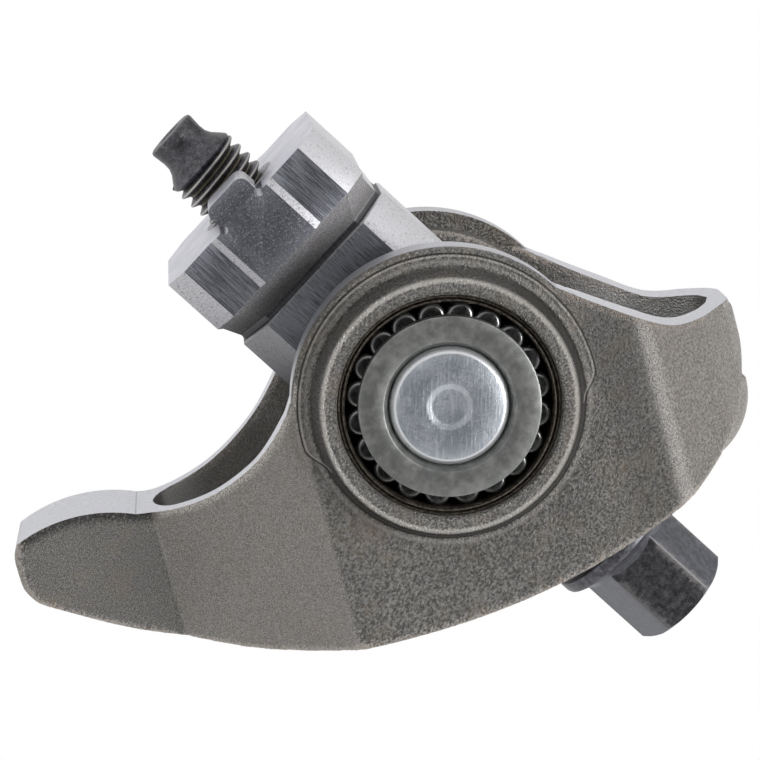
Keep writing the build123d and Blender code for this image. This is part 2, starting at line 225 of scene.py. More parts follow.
def cast_steel():
    """Fine sand-cast grain with worn paler edges and ground rims and pad; painted light pales the slope,
    the nose and the walls' inner faces, and painted shade and highlights mark the ridge and the bosses'
    rings.
    """
    mat, shader, place, (x, y, z), (_, ny, _) = new_material("cast_steel")
    rise = z - TRUNNION_Z
    u = x * cos(LEAN) - rise * sin(LEAN)
    v = x * sin(LEAN) + rise * cos(LEAN)
    wear = attribute(place, "wear")
    ground = attribute(place, "ground")
    rim = attribute(place, "rim")
    pits = noise(place, 4.6, 2.0, 0.60, (0.72, 1.0, 1.0))
    fine = noise(place, 10.0, 1.0, 0.5)
    broad = noise(place, 0.10, 3.0, 0.55)
    tint = noise(place, 0.30, 4.0, 0.65)

    # the grain, and the zones along the arm, with painted light on the slope and the nose and painted
    # shade before the ridge
    calm = step(u, 14.4, 14.9)
    slope = calm * step(u, 31.4, 31.8, 1.0, 0.0)
    nose = step(u + (pits - 0.5) * 1.5, -21.2, -19.8, 1.0, 0.0)
    level = step(pits * (0.65 - calm * 0.40) + fine * (0.35 + calm * 0.40), 0.36, 0.66)
    base = blend(level, (0.074, 0.072, 0.067), (0.325, 0.318, 0.303))
    base = blend(step(tint, 0.48, 0.70) * 0.38, base, (0.270, 0.212, 0.155))
    base = blend(step(broad, 0.35, 0.65) * 0.20, base, (0.115, 0.113, 0.110))
    # painted light: a paler tone laid on the slope and the nose
    pale = blend(level, (0.235, 0.222, 0.208), (0.465, 0.440, 0.410))
    base = blend(slope * 0.62, base, pale)
    # painted shade: darker on the zone just before the ridge
    painted_shade_before_ridge = step(abs(u + 17.2), 0.5, 3.4, 0.35, 0.0)
    base = blend(painted_shade_before_ridge, base, (0.085, 0.083, 0.080))
    base = blend(nose * 0.72, base, pale)
    # a pale line along the ridge, partly wear and partly painted highlight
    ridge = step(abs(u + 20.6 + (pits - 0.5) * 1.8), 0.2, 1.3, 0.80, 0.0) * step(fine, 0.36, 0.58)
    base = blend(ridge, base, (0.640, 0.615, 0.590))

    # painted light on the walls' inner faces near the ends; on the sides, a near-black band just below
    # the pad and a worn band beside the other rims; and worn edges
    ends = step(u, -24.0, -12.0, 1.0, 0.0) + step(u, 25.0, 31.0)
    # painted light: the walls' inner faces near both ends laid pale
    painted_light_inside = step(y * ny, -2.5, -0.8, 1.0, 0.0) * ends
    base = blend(painted_light_inside * 0.85, base, (0.740, 0.730, 0.715))
    skin = step(abs(ny), 0.55, 0.80)
    # a near-black band on the sides just below the pad's edge
    under_pad = step(rim + (pits - 0.5) * 1.6, 0.10, 1.4, 1.0, 0.0) * step(u, 30.8, 31.8) * skin
    base = blend(under_pad * 0.9, base, (0.030, 0.030, 0.028))
    edge = step(wear + (pits - 0.5) * 0.9, 0.22, 0.55)
    base = blend(edge * 0.55, base, (0.600, 0.540, 0.490))
    arm = step(u, 30.4, 31.0, 1.0, 0.0) * skin
    beside = step(rim + (pits - 0.5) * 1.6, 0.30, 0.85, 1.0, 0.0) * arm
    worn = blend(step(u, -4.0, 4.0), (0.420, 0.360, 0.310), (0.760, 0.710, 0.660))
    base = blend(beside * step(fine, 0.40, 0.56) * 0.75, base, worn)

    # the turned rings of a boss, with painted shade and highlights, and a painted shadow line, with a
    # painted highlight just inside it, at the edge of the pad that it stands on
    radius = (x * x + rise * rise) ** 0.5
    boss = step(abs(y), 14.3, 14.6)
    shade = step(rise, -11.0, 2.0, 0.50, 0.95)
    # a pale ring on the shoulder, partly wear and partly painted highlight
    shoulder = step(abs(radius - RING_SHOULDER + (pits - 0.5) * 0.4), 0.06, 0.36, 1.0, 0.0) * boss
    base = blend(shoulder * 0.58, base, (0.680, 0.650, 0.610))
    # painted shadow: a dark band in the recess, darker towards the top
    recess = step(abs(radius - RING_RECESS), 0.32, 0.46, 1.0, 0.0) * boss
    base = blend(recess * shade, base, (0.040, 0.039, 0.036))
    # a pale ring on the swell, partly wear and partly painted highlight
    swell = step(abs(radius - RING_SWELL + (pits - 0.5) * 0.5), 0.05, 0.40, 0.40, 0.0) * boss
    base = blend(swell, base, (0.480, 0.460, 0.430))
    crescent = RING_EDGE - step(v, 0.6, 3.4, 0.0, 1.35)
    high = step(v, 3.2, 3.5, 1.0, 0.0) * boss
    # painted highlight: a pale lip just inside the pad's edge
    lip = step(abs(radius - crescent + 0.22), 0.04, 0.16, 0.55, 0.0) * high
    base = blend(lip, base, (0.560, 0.535, 0.500))
    # painted shadow: a dark line along the pad's edge
    line = step(abs(radius - crescent), 0.04, 0.13, 0.90, 0.0) * high
    base = blend(line, base, (0.030, 0.029, 0.027))

    # ground faces, with the seam where the pad begins
    sheen = noise(place, 3.0, 3.0, 0.6)
    bright = blend(step(sheen, 0.35, 0.70), (0.480, 0.485, 0.525), (0.590, 0.590, 0.630))
    bright = blend(step(abs(u - PAD[0][0]), 0.04, 0.09, 0.6, 0.0), bright, (0.120, 0.120, 0.140))
    base = blend(ground, base, bright)

    rough = step(pits, 0.3, 0.7, 0.50, 0.36)
    grain = (pits * (1.0 - calm * 0.50 - recess * 0.5) + fine * 0.35) * (1.0 - ground * 0.96)
    raised = step(radius - crescent, -0.12, 0.12, 0.4, 0.0) * high
    wire(
        shader, Base_Color=base, Metallic=0.70 + ground * 0.20,
        Roughness=rough + ground * (0.32 - rough), Normal=bump(grain + raised, 0.66))
    return mat


def machined_steel():
    """Milled faces with fine upright lines, pitted corner cuts, a dusty tab and a rough shoulder, with
    painted light on the faces looking down and on the corner cuts facing -X, painted shade on faces
    facing +X above the waist and on faces looking up, a painted highlight along the base's top edge and a
    painted shadow line at the waist.
    """
    mat, shader, place, (x, y, z), (nx, ny, nz) = new_material("machined_steel")
    lines = noise(place, 15.0, 2.0, 0.6, (1.0, 1.0, 0.030))
    specks = noise(place, 7.0, 2.0, 0.6)
    pits = noise(place, 4.2, 2.0, 0.7)
    broad = noise(place, 0.25, 2.0, 0.5)
    side = step(abs(ny), 0.80, 0.95)
    below = step(nz, -0.95, -0.80, 1.0, 0.0)
    above = step(nz, 0.25, 0.45)
    band = step(abs(y), 10.55, 10.75)
    base = blend(step(specks, 0.35, 0.65), (0.440, 0.440, 0.460), (0.620, 0.615, 0.640))
    base = blend(step(pits, 0.60, 0.64) * 0.75, base, (0.110, 0.105, 0.100))
    # painted light: faces looking down laid paler
    base = blend(below, base, blend(step(broad, 0.3, 0.7), (0.580, 0.580, 0.640), (0.680, 0.680, 0.730)))
    # painted light on the corner cuts facing -X
    painted_lit_side = step(nx, -0.60, -0.30, 0.45, 0.0) * step(abs(x), 7.0, 7.8)
    base = blend(painted_lit_side, base, (0.760, 0.755, 0.780))
    # painted shade on faces facing +X above the waist
    painted_shaded_side = step(nx, 0.30, 0.60) * step(z, 9.4, 9.8)
    base = blend(painted_shaded_side * 0.60, base, (0.190, 0.190, 0.198))
    milled = blend(step(lines, 0.34, 0.66), (0.105, 0.110, 0.124), (0.320, 0.332, 0.368))
    milled = blend(step(pits, 0.58, 0.66) * 0.5, milled, (0.080, 0.080, 0.090))
    base = blend(side, base, milled)
    dusty = blend(step(specks, 0.58, 0.72), (0.200, 0.210, 0.235), (0.450, 0.450, 0.460))
    base = blend(side * band, base, dusty)
    # painted shade: faces looking up laid darker, darkest from the block's foot up
    slant = blend(step(z, 6.9, 9.3), (0.400, 0.392, 0.400), (0.260, 0.254, 0.258))
    slant = blend(step(specks, 0.40, 0.60, 0.55, 0.0), slant, (0.080, 0.078, 0.080))
    slant = blend(step(specks, 0.60, 0.72) * 0.55, slant, (0.560, 0.545, 0.555))
    base = blend(above, base, slant)
    # painted highlight: a pale line along the base's top edge
    arris = step(abs(z - 6.78), 0.10, 0.24, 0.75, 0.0) * side * (1.0 - band)
    base = blend(arris, base, (0.700, 0.690, 0.700))
    # painted shadow: a dark line at the waist, where the shoulder meets the block
    waist = step(abs(z - 9.62), 0.22, 0.36, 0.85, 0.0)
    base = blend(waist, base, (0.040, 0.038, 0.040))
    lined = side * (1.0 - band)
    rough = step(specks, 0.3, 0.7, 0.44, 0.58) - side * 0.16 + above * 0.22
    wire(
        shader, Base_Color=base, Metallic=0.9, Roughness=rough,
        Normal=bump(lines * lined * 0.8 + specks * (0.25 + band * 0.5 + above * 1.2), 0.035))
    return mat


def dark_fastener_steel():
    """A dark phosphate coat, worn on the thread's crests and the head's corners, with painted reflections
    darkening some of the head's faces and lightening the rest.
    """
    mat, shader, place, (x, y, z), (_, ny, _) = new_material("dark_fastener_steel")
    radius = (x * x + y * y) ** 0.5
    threaded = step(z, -1.0, 12.0, 1.0, 0.0) * step(z, -5.8, -5.2)
    crest = step(radius, 3.90, 3.98) * threaded
    root = step(radius, 3.30, 3.62, 1.0, 0.0) * threaded
    mottled = noise(place, 1.4, 5.0, 0.70)
    fine = noise(place, 6.5, 2.0, 0.6)
    scuff = noise(place, 2.2, 4.0, 0.7)
    pilot = step(z, -5.6, -5.0, 1.0, 0.0)
    base = blend(step(mottled, 0.35, 0.7), (0.055, 0.055, 0.062), (0.158, 0.158, 0.178))
    base = blend(pilot * 0.5, base, (0.050, 0.048, 0.052))
    base = blend(step(fine, 0.65, 0.71) * 0.6, base, (0.380, 0.350, 0.320))
    scraped = step(scuff, 0.50, 0.64) * pilot
    base = blend(scraped * 0.16, base, (0.420, 0.415, 0.430))
    # painted reflections on the head: darker where its faces turn along y, lighter on its other faces
    head = step(z, 53.0, 54.0)
    facing = step(abs(ny), 0.80, 0.95)
    base = blend(head * facing * 0.45, base, (0.040, 0.036, 0.036))
    base = blend(head * (1.0 - facing) * 0.40, base, (0.230, 0.238, 0.262))
    base = blend(root * 0.6, base, (0.110, 0.088, 0.050))
    worn = step(radius + (scuff - 0.5) * 0.9, 5.42, 5.72) * step(z, 55.0, 55.6)
    base = blend(worn * 0.30, base, (0.340, 0.325, 0.310))
    base = blend(crest * 0.80, base, (0.560, 0.540, 0.500))
    rough = step(mottled, 0.3, 0.7, 0.34, 0.48) + worn * 0.22
    wire(
        shader, Base_Color=base, Metallic=0.85, Roughness=rough,
        Normal=bump(mottled * 0.6 + fine * 0.4, 0.04))
    return mat


def bright_ground_steel():
    """Ground steel, scratched and stained on the pin's ends, with painted highlights on the chamfers and
    on the dimples' sloped walls.
    """
    mat, shader, place, (x, y, z), _ = new_material("bright_ground_steel")
    across = x * 0.66 - z * 0.75
    along = x * 0.75 + z * 0.66
    brushed = place.node(
        "ShaderNodeCombineXYZ", {0: across * MM, 1: y * (MM * 0.2), 2: along * (MM * 0.07)})
    scratches = noise(brushed, 5.5, 3.0, 0.65)
    fine = noise(place, 6.0, 2.0, 0.6)
    broad = noise(place, 0.35, 3.0, 0.55)
    radius = (x * x + (z - TRUNNION_Z) * (z - TRUNNION_Z)) ** 0.5
    end = step(radius, 5.15, 5.30, 1.0, 0.0) * step(abs(y), 16.0, 16.2)
    base = blend(step(broad, 0.35, 0.65), (0.340, 0.370, 0.415), (0.480, 0.510, 0.555))
    # painted highlight: a pale ring on the dimple's sloped wall
    base = blend(step(abs(radius - 2.0), 0.25, 0.45, 0.30, 0.0), base, (0.640, 0.660, 0.690))
    stain = noise(place, 0.7, 5.0, 0.75)
    base = blend(step(stain, 0.56, 0.66) * 0.45, base, (0.170, 0.180, 0.200))
    base = blend(step(scratches, 0.52, 0.66) * 0.60, base, (0.640, 0.670, 0.700))
    # painted highlight: pale outside the end face, on the chamfer and the pin's side
    base = blend(end, (0.680, 0.690, 0.710), base)
    wire(
        shader, Base_Color=base, Metallic=0.85, Roughness=step(fine, 0.3, 0.7, 0.34, 0.46),
        Normal=bump(scratches * 0.6 + fine * 0.4, 0.03))
    return mat


def satin_hardened_steel():
    """A satin grey, lightly clouded."""
    mat, shader, place, _, _ = new_material("satin_hardened_steel")
    broad = noise(place, 0.8, 5.0, 0.7)
    fine = noise(place, 6.0, 2.0, 0.6)
    base = blend(step(broad, 0.35, 0.68), (0.168, 0.174, 0.168), (0.262, 0.266, 0.255))
    wire(
        shader, Base_Color=base, Metallic=0.8, Roughness=step(broad, 0.3, 0.7, 0.42, 0.48),
        Normal=bump(fine, 0.012))
    return mat


def drawn_cup_steel():
    """A dark oiled shell."""
    mat, shader, place, _, _ = new_material("drawn_cup_steel")
    fine = noise(place, 3.0, 3.0, 0.6)
    base = blend(step(fine, 0.35, 0.68), (0.070, 0.061, 0.050), (0.230, 0.200, 0.170))
    wire(shader, Base_Color=base, Metallic=0.9, Roughness=step(fine, 0.3, 0.7, 0.30, 0.40))
    return mat


def needle_steel():
    """Dark ends, with the round sides and edges painted paler as a painted highlight."""
    mat, shader, place, _, (_, ny, _) = new_material("needle_steel")
    fine = noise(place, 2.0, 3.0, 0.6)
    end = step(abs(ny), 0.90, 0.985)
    base = blend(step(fine, 0.35, 0.7), (0.040, 0.042, 0.040), (0.085, 0.087, 0.085))
    # painted highlight: the round sides and edges paler than the ends
    base = blend(end, (0.200, 0.208, 0.205), base)
    wire(shader, Base_Color=base, Metallic=0.9, Roughness=step(fine, 0.3, 0.7, 0.26, 0.34))
    return mat


FINISHES = {
    maker.__name__: maker()
    for maker in (
        cast_steel, machined_steel, dark_fastener_steel, bright_ground_steel,
        satin_hardened_steel, drawn_cup_steel, needle_steel)
}


# modelling helpers
def deselect():
    bpy.ops.object.select_all(action="DESELECT")


def activate(obj):
    deselect()
    obj.select_set(True)
    bpy.context.view_layer.objects.active = obj


def edit(obj):
    """Edit mode on one piece, with all of it selected."""
    activate(obj)
    bpy.ops.object.mode_set(mode="EDIT")
    bpy.ops.mesh.select_mode(type="VERT")
    bpy.ops.mesh.select_all(action="SELECT")


def leave_edit():
    bpy.ops.object.mode_set(mode="OBJECT")


def chain(name, points):
    """An open run of edges through 3-D points, drawn vertex by vertex from a collapsed plane."""
    deselect()
    bpy.ops.mesh.primitive_plane_add(size=1, location=(0, 0, 0))
    obj = bpy.context.object
    obj.name = name
    edit(obj)
    bpy.ops.mesh.merge(type="CENTER")
    points = [Vector(p) for p in points]
    bpy.ops.transform.translate(value=points[0])
    for a, b in zip(points, points[1:]):
        bpy.ops.mesh.extrude_vertices_move(TRANSFORM_OT_translate={"value": b - a})
    bpy.ops.mesh.select_all(action="SELECT")
    return obj


def prism(name, points, vector):
    """A closed outline filled and pushed out both ways along a vector."""
    half = Vector(vector)
    obj = chain(name, [Vector(p) - half for p in points])
    bpy.ops.mesh.edge_face_add()
    bpy.ops.mesh.extrude_region_move(TRANSFORM_OT_translate={"value": half * 2})
    bpy.ops.mesh.select_all(action="SELECT")
    bpy.ops.mesh.normals_make_consistent(inside=False)
    leave_edit()
    return obj


def lathe(name, profile, steps):
    """A solid turned about Z from (radius, z) points."""
    points = [(r, 0, z) for r, z in profile]
    obj = chain(name, points + points[:1])
    bpy.ops.mesh.remove_doubles(threshold=0.0005)
    bpy.ops.mesh.select_all(action="SELECT")
    bpy.ops.mesh.spin(steps=steps, angle=2 * pi, center=(0, 0, 0), axis=(0, 0, 1))
    bpy.ops.mesh.select_all(action="SELECT")
    bpy.ops.mesh.remove_doubles(threshold=0.002)
    bpy.ops.mesh.select_all(action="SELECT")
    bpy.ops.mesh.delete_loose()
    bpy.ops.mesh.select_all(action="SELECT")
    bpy.ops.mesh.normals_make_consistent(inside=False)
    leave_edit()
    return obj


def bake_place(obj):
    """Puts a piece's place, turn and scale into its mesh."""
    activate(obj)
    bpy.ops.object.transform_apply(location=True, rotation=True, scale=True)
    return obj


def moved(obj, matrix):
    obj.matrix_world = matrix @ obj.matrix_world
    return bake_place(obj)


def copy_of(obj, name):
    new = obj.copy()
    new.data = obj.data.copy()
    new.name = name
    bpy.context.collection.objects.link(new)
    return new


def mirrored(obj, name):
    """The same piece on the far side of the arm."""
    new = copy_of(obj, name)
    new.scale = (1, -1, 1)
    bake_place(new)
    edit(new)
    bpy.ops.mesh.normals_make_consistent(inside=False)
    leave_edit()
    return new


def apply_modifier(obj, kind, **settings):
    activate(obj)
    mod = obj.modifiers.new(kind, kind)
    for key, value in settings.items():
        setattr(mod, key, value)
    bpy.ops.object.modifier_apply(modifier=mod.name)


def combine(obj, other, operation):
    """A boolean of two closed shapes, after which the other is gone."""
    apply_modifier(obj, "BOOLEAN", operation=operation, object=other, solver="EXACT")
    bpy.data.objects.remove(other)
    return obj


def join(obj, other):
    """Both closed shells in one object, for the remesh to fuse."""
    activate(obj)
    other.select_set(True)
    bpy.ops.object.join()


def smooth(obj, angle):
    activate(obj)
    bpy.ops.object.shade_smooth_by_angle(angle=radians(angle))
    return obj


def bevel(obj, width, segments, angle):
    apply_modifier(
        obj, "BEVEL", width=width, segments=segments, limit_method="ANGLE",
        angle_limit=radians(angle), use_clamp_overlap=True, harden_normals=False)


def finish_piece(obj, holder, slot_name, *nodes):
    """Hang a finished piece on its body, give it its finish and hide the CAD nodes it stands for."""
    obj.data.materials.clear()
    obj.data.materials.append(FINISHES[slot_name])
    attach(obj, holder)
    if nodes:
        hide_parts(*nodes)


def scaled(obj):
    """From millimetres to metres, with the scale applied."""
    obj.scale = (MM, MM, MM)
    return bake_place(obj)


def along_trunnion(obj, side=-1):
    """Turn a piece lathed about Z so that its +Z points out along the trunnion on one side."""
    turn = Matrix.Rotation(radians(90) * -side, 4, "X")
    return moved(obj, Matrix.Translation((0, 0, TRUNNION_Z)) @ turn)


def curve_through(points, per, first, last):
    """A smooth run through points, with so many steps between two and the ends' directions given."""
    pts = [np.array(p, float) for p in points]
    ways = [np.array(first, float)]
    ways += [after - before for before, after in zip(pts, pts[2:])]
    ways += [np.array(last, float)]
    out = []
    for i in range(len(pts) - 1):
        p, q = pts[i], pts[i + 1]
        length = np.linalg.norm(q - p)
        t0, t1 = (way / np.linalg.norm(way) * length for way in ways[i:i + 2])
        for k in range(per):
            s = k / per
            h = (2 * s**3 - 3 * s**2 + 1, s**3 - 2 * s**2 + s, 3 * s**2 - 2 * s**3, s**3 - s**2)
            out.append(tuple(h[0] * p + h[1] * t0 + h[2] * q + h[3] * t1))
    out.append(tuple(pts[-1]))
    return out


# the cast body
def pad_run():
    """The pad's arc, from the arm to the tip."""
    start, end = (np.array(p) - PAD_CENTRE for p in (PAD[0], PAD[2]))
    a, b = (np.arctan2(p[1], p[0]) for p in (start, end))
    return [
        tuple(PAD_CENTRE + PAD_RADIUS * np.array((cos(t), sin(t))))
        for t in np.linspace(a, b, 18)
    ]


def arm_run():
    """The arm's flat rim, from beside the boss to the pad."""
    return curve_through(ARM_RIM, 7, (0.5, 0.86), (0.97, -0.22))


def cup_run():
    """The flat rim on the pushrod's side, from the nose to beside the boss."""
    return curve_through(CUP_RIM, 7, (0.95, -0.1), (0.78, -0.62))


def with_stock(run):
    """A rim moved out by the stock that its flat face is cut back through, except by the boss."""
    points = [Vector(p) for p in run]
    out = []
    for i, p in enumerate(points):
        along = (points[min(i + 1, len(points) - 1)] - points[max(i - 1, 0)]).normalized()
        stock = RIM_STOCK if p.length > STOCK_START else 0.0
        out.append(tuple(p + Vector((along[1], -along[0])) * stock))
    return out


def side_points():
    """The whole side outline, with stock on its rims."""
    run = with_stock(pad_run())
    run += curve_through(TIP, 5, (0.75, 0.65), (-0.8, 0.55))[1:]
    run += curve_through(TOP, 8, (-0.85, 0.52), (-0.35, -0.94))[1:]
    run += curve_through(NOSE, 4, (-0.35, -0.94), (0.8, -0.6))[1:]
    run += with_stock(cup_run())
    run += [(0, -13.0)]
    run += with_stock(arm_run())[:-1]
    return run


def rounded(points, radii):
    """A closed polygon whose corners get the given radii."""
    steps = 6
    out = []
    n = len(points)
    for i, radius in enumerate(radii):
        b = Vector(points[i])
        a = Vector(points[i - 1]) - b
        c = Vector(points[(i + 1) % n]) - b
        if radius <= 0:
            out.append(tuple(b))
            continue
        half = a.angle(c) / 2
        reach = radius / tan(half)
        start, end = b + a.normalized() * reach, b + c.normalized() * reach
        centre = b + (a.normalized() + c.normalized()).normalized() * (radius / sin(half))
        u, w = start - centre, end - centre
        whole = u.angle(w)
        for k in range(steps + 1):
            t = k / steps
            before, after = sin((1 - t) * whole) / sin(whole), sin(t * whole) / sin(whole)
            out.append(tuple(centre + u * before + w * after))
    return out


def plan_points():
    """The outline from above: a flat-sided tip, a straight slope, parallel cheeks and a blunt nose."""
    # each corner's u, y and radius
    corners = [
        (46.75, TIP_HALF_WIDTH, 1.6), (TIP_ZONE_U, TIP_HALF_WIDTH, 0.5), (RIDGE_U, WALL_Y, 0.4),
        (-9.5, WALL_Y, 4), (-20.4, 13.8, 4), (-27.2, 8.6, 1.5),
    ]
    nose = [(-29.8, 4.9, 0), (-30.95, 2.4, 0), (-31.28, 0, 0), (-30.95, -2.4, 0), (-29.8, -4.9, 0)]
    full = corners + nose + [(u, -y, r) for u, y, r in reversed(corners)]
    return rounded([(u, y) for u, y, r in full], [r for u, y, r in full])


def hollow_plan_points():
    """The hollow from above, rounded at the tip and the nose."""
    half = [
        (29.6, 4.4), (19.4, 10.2), (RIDGE_U, 11.0), (-10.0, 11.0), (-17.0, 8.6), (-22.0, 7.4),
        (-25.2, 5.9), (-27.2, 4.3), (-28.4, 2.4),
    ]
    tip = [(30.6, -3.1), (31.2, -1.6), (31.4, 0), (31.2, 1.6), (30.6, 3.1)]
    return tip + half + [(-29.0, 0)] + [(u, -y) for u, y in reversed(half)]


def hollow_side_points():
    """The hollow from the side: under the arm's web, and open above where the bolt stands."""
    reach = 40.0
    arm_end, nose_end, web_v = 32.2, -29.0, 9.4

    def beside(angle, side, v):
        """Where the bolt's way, at a lean in the body's frame, is at a height."""
        u0, v0 = side * BOLT_WAY * sin(angle), -side * BOLT_WAY * cos(angle)
        along = (v - v0) / sin(angle)
        return (u0 + along * cos(angle), v)

    rest, end = radians(90 + BODY_TILT), radians(90 + BODY_TILT - SWING)
    under_web = [(arm_end, 4.2), (31.2, 6.7), (26.5, 12.6), (19.0, 16.9)]
    return (
        [(arm_end, -reach)] + curve_through(under_web, 5, (-0.1, 1), (-1, 0.35))
        + [beside(end, 1, 17.4), beside(end, 1, reach)]
        + [beside(rest, -1, reach), beside(rest, -1, web_v)]
        + [(nose_end, web_v), (nose_end, -reach)])


# A boss, as (radius, station along the trunnion): the pad and raised face, what they stand on
# inside the cast wall, and the bore
DISC = [
    (10.5, 11.15), (BOSS_PAD_RADIUS, 11.15), (BOSS_PAD_RADIUS, 14.45), (15.34, 14.74), (15.18, 14.96),
    (14.95, 15.08), (14.7, 15.12), (13.8, 15.12), (13.58, 15.17), (13.42, 15.32), (13.3, 15.6),
    (13.1, 16.25), (12.9, 16.65), (12.6, 16.9), (12.2, FACE_Y), (10.5, FACE_Y),
]
FOOT = [
    (0, 8.3), (13.7, 8.3), (13.7, 11.6), (14.5, 11.6), (14.5, 14.3), (13.3, 14.9), (12.8, 16.4),
    (0, 16.4),
]
BORE = [
    (0, 7.0), (11.01, 7.0), (11.01, 16.65), (11.16, 16.9), (11.45, 17.02), (11.45, 18.0), (0, 18.0),
]


def mouth(run, spread):
    """What eases the hollow's mouth along a rim: the hollow made wider, from just inside the rim."""
    depth = 1.3
    plan = [Vector(p) for p in hollow_plan_points()]
    wide = []
    for i, p in enumerate(plan):
        along = (plan[(i + 1) % len(plan)] - plan[i - 1]).normalized()
        share = min(1.0, max((p[0] + 31.0) / 9.0, 0.25), max((33.0 - p[0]) / 6.0, 0.25))
        moved = p + Vector((-along[1], along[0])) * (spread * share)
        wide.append((moved[0], moved[1], 0))
    ease = prism("mouth", wide, (0, 0, 60))
    side = [(u, 0, v + depth) for u, v in run] + [(run[-1][0], 0, BELOW), (run[0][0], 0, BELOW)]
    return combine(ease, prism("mouth_side", side, (0, 30, 0)), "INTERSECT")


def drafted_plan():
    """The outline from above as a block: upright over the widest line and drafted in below it."""
    depth = 20
    plan = plan_points()
    block = prism("plan", [(u, y, DRAFT_START + depth) for u, y in plan], (0, 0, depth))
    lower = chain("lower", [(u, y, DRAFT_START) for u, y in plan])
    bpy.ops.mesh.edge_face_add()
    bpy.ops.mesh.extrude_region_move(TRANSFORM_OT_translate={"value": (0, 0, -depth)})
    narrowed = 1 - depth * tan(DRAFT) / WALL_Y
    bpy.ops.transform.resize(value=(1, narrowed, 1), center_override=(0, 0, 0))
    bpy.ops.mesh.select_all(action="SELECT")
    bpy.ops.mesh.normals_make_consistent(inside=False)
    leave_edit()
    return combine(block, lower, "UNION")


def rim_cutters():
    """Blocks whose upper faces are the flat rims and the pad."""
    arm = [p for p in arm_run() if Vector(p).length > RIM_START]
    cup = [p for p in cup_run() if Vector(p).length > RIM_START]
    past_arm, past_cup = (tuple(Vector(end) * 1.5) for end in (arm[0], cup[-1]))
    for run in (
        [(60, 10)] + pad_run()[::-1] + arm[::-1][1:] + [past_arm, (30, BELOW), (60, BELOW)],
        [(-50, 0.5)] + cup + [past_cup, (-30, BELOW), (-50, BELOW)],
    ):
        yield lean(prism("cutter", [(u, 0, v) for u, v in run], (0, 25, 0)))


def ball(radius, steps):
    """A quarter circle of (radius, z) points from its side to its top."""
    return [(radius * cos(a), radius * sin(a)) for a in np.linspace(0, pi / 2, steps)]


def lean(obj):
    """From the body's own frame to the part's."""
    obj.rotation_euler = (0, LEAN, 0)
    obj.location = (0, 0, TRUNNION_Z)
    return bake_place(obj)


def at_cup(obj, turn=0.0):
    """Puts a lathed piece at the pushrod cup, turned in the plane of the arm."""
    obj.rotation_euler = (0, turn, 0)
    obj.location = (CUP_U, 0, CUP_V)
    return bake_place(obj)


def cast_body():
    """The casting: side and plan, cup, hollow and socket, then the bosses, flat rims and bores."""
    side = prism("cast_body", [(u, 0, v) for u, v in side_points()], (0, 20, 0))
    combine(side, drafted_plan(), "INTERSECT")
    combine(side, at_cup(lathe("dome", ball(DOME_RADIUS, 16) + [(0, 0)], 64)), "UNION")
    column = prism("column", [(u, y, 0) for u, y in hollow_plan_points()], (0, 0, 60))
    window = prism("window", [(u, 0, v) for u, v in hollow_side_points()], (0, 30, 0))
    combine(column, window, "INTERSECT")
    combine(side, column, "DIFFERENCE")
    for run, spread in ((arm_run(), 2.2), (cup_run(), 3.4)):
        combine(side, mouth(run, spread), "DIFFERENCE")
    bottom = [(r, -z) for r, z in ball(SOCKET_RADIUS, 12)][1:-1]
    socket = [(0, -SOCKET_RADIUS), (0, 8), (SOCKET_RADIUS, 8), (SOCKET_RADIUS, 0)] + bottom
    combine(side, at_cup(lathe("socket", socket, 48), pi + radians(SOCKET_LEAN)), "DIFFERENCE")
    lean(side)
    for s in (-1, 1):
        join(side, along_trunnion(lathe("foot", FOOT, 128), s))
    apply_modifier(side, "REMESH", mode="VOXEL", voxel_size=VOXEL, adaptivity=0.0)
    apply_modifier(side, "SMOOTH", factor=0.5, iterations=SOFTEN)
    for s in (-1, 1):
        combine(side, along_trunnion(lathe("disc", DISC, 160), s), "UNION")
    for cutter in rim_cutters():
        combine(side, cutter, "DIFFERENCE")
    for s in (-1, 1):
        combine(side, along_trunnion(lathe("bore", BORE, 160), s), "DIFFERENCE")
    return side


def read(items, key):
    """One 3-D value of each of a mesh's points or faces."""
    values = np.empty(len(items) * 3)
    items.foreach_get(key, values)
    return values.reshape(-1, 3)


def store(mesh, name, domain, values):
    """Keeps a value on each point or face, under a name that a finish reads."""
    layer = mesh.attributes.new(name, "FLOAT", domain)
    layer.data.foreach_set("value", values.astype(np.float32))


def mark_wear(obj):
    """Stores how strongly the surface bends outwards at each point, for the finish to wear by."""
    passes = 3
    mesh = obj.data
    count = len(mesh.vertices)
    co, no = read(mesh.vertices, "co"), read(mesh.vertices, "normal")
    ends = np.empty(len(mesh.edges) * 2, int)
    mesh.edges.foreach_get("vertices", ends)
    a, b = ends.reshape(-1, 2).T
    gap = co[b] - co[a]
    length = np.maximum(np.linalg.norm(gap, axis=1), 0.1 * MM)
    bend = np.clip(np.einsum("ij,ij->i", no[b] - no[a], gap) / length**2 * MM, -0.5, 1.2)
    links = np.maximum(np.bincount(a, minlength=count) + np.bincount(b, minlength=count), 1)
    value = (np.bincount(a, bend, count) + np.bincount(b, bend, count)) / links
    for _ in range(passes):
        value = (np.bincount(a, value[b], count) + np.bincount(b, value[a], count)) / links
    turned = np.hypot(co[:, 0], co[:, 2] - TRUNNION_Z * MM) < 15.6 * MM
    value[turned & (np.abs(co[:, 1]) > 14.0 * MM)] *= 0.35
    store(mesh, "wear", "POINT", value)


def from_run(at, run):
    """Distance of (u, v) places from a run of points."""
    run = np.array(run)
    out = np.full(len(at), 9.0)
    for a, b in zip(run, run[1:]):
        share = np.clip((at - a) @ (b - a) / ((b - a) @ (b - a)), 0, 1)
        out = np.minimum(out, np.linalg.norm(at - a - share[:, None] * (b - a), axis=1))
    return out


